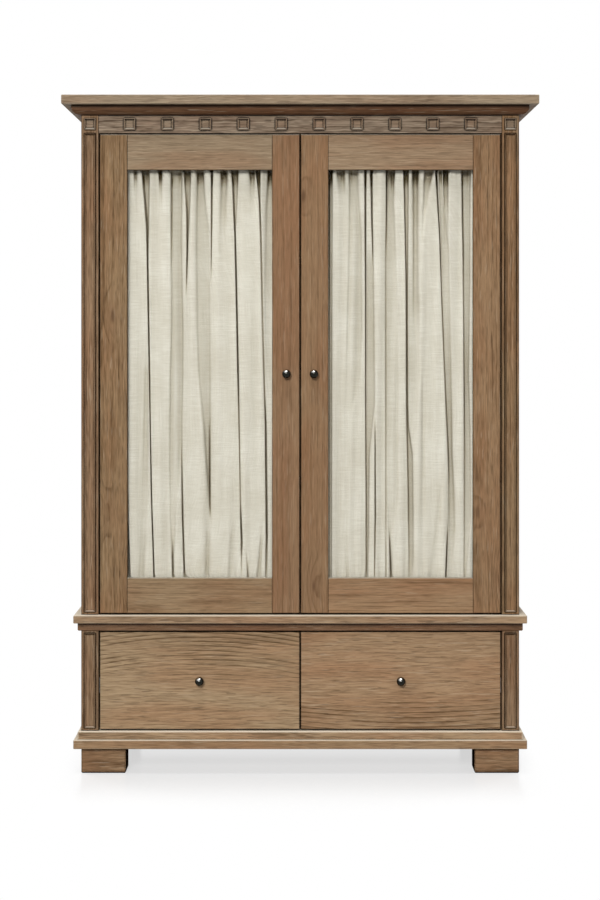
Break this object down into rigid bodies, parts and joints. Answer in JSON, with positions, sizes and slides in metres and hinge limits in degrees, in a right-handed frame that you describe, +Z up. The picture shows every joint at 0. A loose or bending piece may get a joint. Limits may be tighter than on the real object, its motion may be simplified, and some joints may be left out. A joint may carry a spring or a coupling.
{
  "type": "curtained cabinet",
  "caption": "Tall oak cabinet with glazed, linen-curtained doors over two drawers, a stepped waist and base, a deep cornice and block feet.",
  "frame": {"origin": "on the floor, under the middle of the whole box", "axes": "+Z up, +Y to the cabinet's back, +X to the right of someone facing its front"},
  "size_m": [1.45, 0.605, 2.07],
  "materials": {
    "oak_cornice": "matt, wire-brushed",
    "oak_frieze": "matt, wire-brushed",
    "oak_case": "matt, wire-brushed",
    "oak_door": "matt, wire-brushed",
    "oak_drawer": "matt, wire-brushed",
    "inner_wood": "satin lacquer",
    "back_board": "matt veneer",
    "clear_glass": "clear float glass",
    "linen": "plain-woven linen",
    "dark_metal": "blackened, semi-gloss",
    "zinc_steel": "bright zinc",
    "brass": "plain",
    "catch_plastic": "brown moulded"
  },
  "bodies": {
    "case": {"base_board": "oak_case", "base_frame": "oak_case", "ceiling_panel": "inner_wood", "cornice_board": "oak_cornice", "cornice_moulding": "oak_cornice", "drawer_divider": "inner_wood", "feet": "oak_case", "frieze_rail": "oak_frieze", "left_lower_post": "oak_case", "left_lower_side": "oak_case", "left_upper_post": "oak_case", "left_upper_side": "oak_case", "lower_back_panel": "back_board", "magnet_catches": "catch_plastic", "pivot_bushes": "brass", "right_lower_post": "oak_case", "right_lower_side": "oak_case", "right_upper_post": "oak_case", "right_upper_side": "oak_case", "runner_battens": "inner_wood", "runner_fixed_channels": "zinc_steel", "shelf_cleats": "inner_wood", "shelf_lower": "inner_wood", "shelf_middle": "inner_wood", "shelf_upper": "inner_wood", "square_rosettes": "oak_frieze", "upper_back_panel": "back_board", "waist_board": "oak_case", "waist_frame": "oak_case"},
    "left_door": {"left_curtain": "linen", "left_curtain_rods": "zinc_steel", "left_door_beads": "oak_door", "left_door_bottom_rail": "oak_door", "left_door_glass": "clear_glass", "left_door_hardware": "dark_metal", "left_door_hinge_stile": "oak_door", "left_door_meeting_stile": "oak_door", "left_door_top_rail": "oak_door"},
    "left_drawer": {"left_drawer_bottom": "inner_wood", "left_drawer_ends": "inner_wood", "left_drawer_front": "oak_drawer", "left_drawer_hardware": "dark_metal", "left_drawer_sides": "inner_wood"},
    "left_runner_middle": {"left_runner_middle_channels": "zinc_steel"},
    "right_door": {"right_curtain": "linen", "right_curtain_rods": "zinc_steel", "right_door_beads": "oak_door", "right_door_bottom_rail": "oak_door", "right_door_glass": "clear_glass", "right_door_hardware": "dark_metal", "right_door_hinge_stile": "oak_door", "right_door_meeting_stile": "oak_door", "right_door_top_rail": "oak_door"},
    "right_drawer": {"right_drawer_bottom": "inner_wood", "right_drawer_ends": "inner_wood", "right_drawer_front": "oak_drawer", "right_drawer_hardware": "dark_metal", "right_drawer_sides": "inner_wood"},
    "right_runner_middle": {"right_runner_middle_channels": "zinc_steel"}
  },
  "joints": [
    {"name": "left_door_hinge", "type": "hinge", "parent": "case", "child": "left_door", "pos_m": [-0.583, -0.2365, 0.489], "axis": [0, 0, -1], "range_deg": [0, 110]},
    {"name": "left_drawer_slide", "type": "slide", "parent": "case", "child": "left_drawer", "axis": [0, -1, 0], "range_m": [0, 0.4]},
    {"name": "left_runner_slide", "type": "slide", "parent": "case", "child": "left_runner_middle", "axis": [0, -1, 0], "range_m": [0, 0.2]},
    {"name": "right_door_hinge", "type": "hinge", "parent": "case", "child": "right_door", "pos_m": [0.583, -0.2365, 0.489], "axis": [0, 0, 1], "range_deg": [0, 110]},
    {"name": "right_drawer_slide", "type": "slide", "parent": "case", "child": "right_drawer", "axis": [0, -1, 0], "range_m": [0, 0.4]},
    {"name": "right_runner_slide", "type": "slide", "parent": "case", "child": "right_runner_middle", "axis": [0, -1, 0], "range_m": [0, 0.2]}
  ],
  "couplings": [
    {"joint": "left_runner_slide", "follows": "left_drawer_slide", "ratio": 0.5},
    {"joint": "right_runner_slide", "follows": "right_drawer_slide", "ratio": 0.5}
  ]
}
